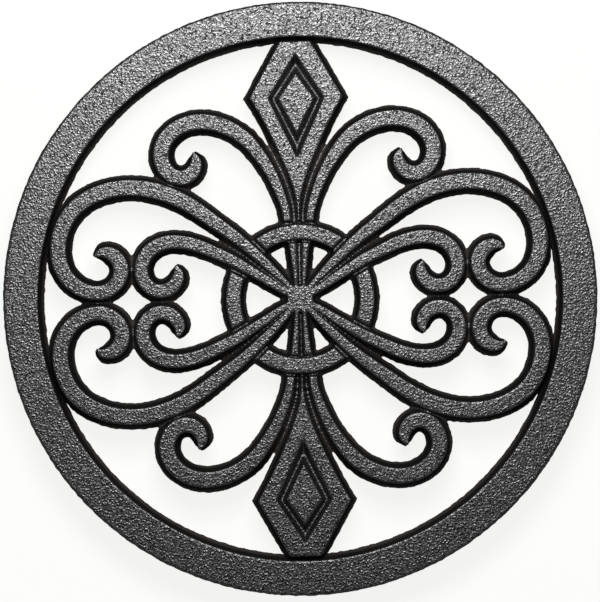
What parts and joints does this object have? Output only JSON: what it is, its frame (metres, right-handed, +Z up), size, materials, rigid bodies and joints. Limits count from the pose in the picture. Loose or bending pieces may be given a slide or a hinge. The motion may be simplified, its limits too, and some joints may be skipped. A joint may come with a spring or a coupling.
{
  "type": "cast-iron trivet",
  "caption": "Round openwork cast-iron trivet: a flat rim round mirrored scrolls, crest scrolls and two lozenge spears crossing a hub ring, on short legs with rubber caps.",
  "frame": {"origin": "middle of the face it stands on, the undersides of the four rubber caps", "axes": "+Z up through the patterned face, +Y towards the back spear, +X towards the right pair of long scrolls"},
  "size_m": [0.19, 0.19, 0.02],
  "materials": {
    "black_iron": "sand-cast surface under thin satin black paint",
    "black_rubber": "matte moulded rubber"
  },
  "bodies": {
    "root": {"crest_scroll_back_left": "black_iron", "crest_scroll_back_right": "black_iron", "crest_scroll_front_left": "black_iron", "crest_scroll_front_right": "black_iron", "foot_cap_back": "black_rubber", "foot_cap_front": "black_rubber", "foot_cap_left": "black_rubber", "foot_cap_right": "black_rubber", "hub": "black_iron", "hub_ring_back": "black_iron", "hub_ring_front": "black_iron", "hub_ring_left": "black_iron", "hub_ring_right": "black_iron", "leg_back": "black_iron", "leg_front": "black_iron", "leg_left": "black_iron", "leg_right": "black_iron", "long_scroll_back_left": "black_iron", "long_scroll_back_right": "black_iron", "long_scroll_front_left": "black_iron", "long_scroll_front_right": "black_iron", "outer_rim": "black_iron", "root_bar_back_left": "black_iron", "root_bar_back_right": "black_iron", "root_bar_front_left": "black_iron", "root_bar_front_right": "black_iron", "short_scroll_back_left": "black_iron", "short_scroll_back_right": "black_iron", "short_scroll_front_left": "black_iron", "short_scroll_front_right": "black_iron", "spear_back": "black_iron", "spear_front": "black_iron"}
  },
  "joints": []
}
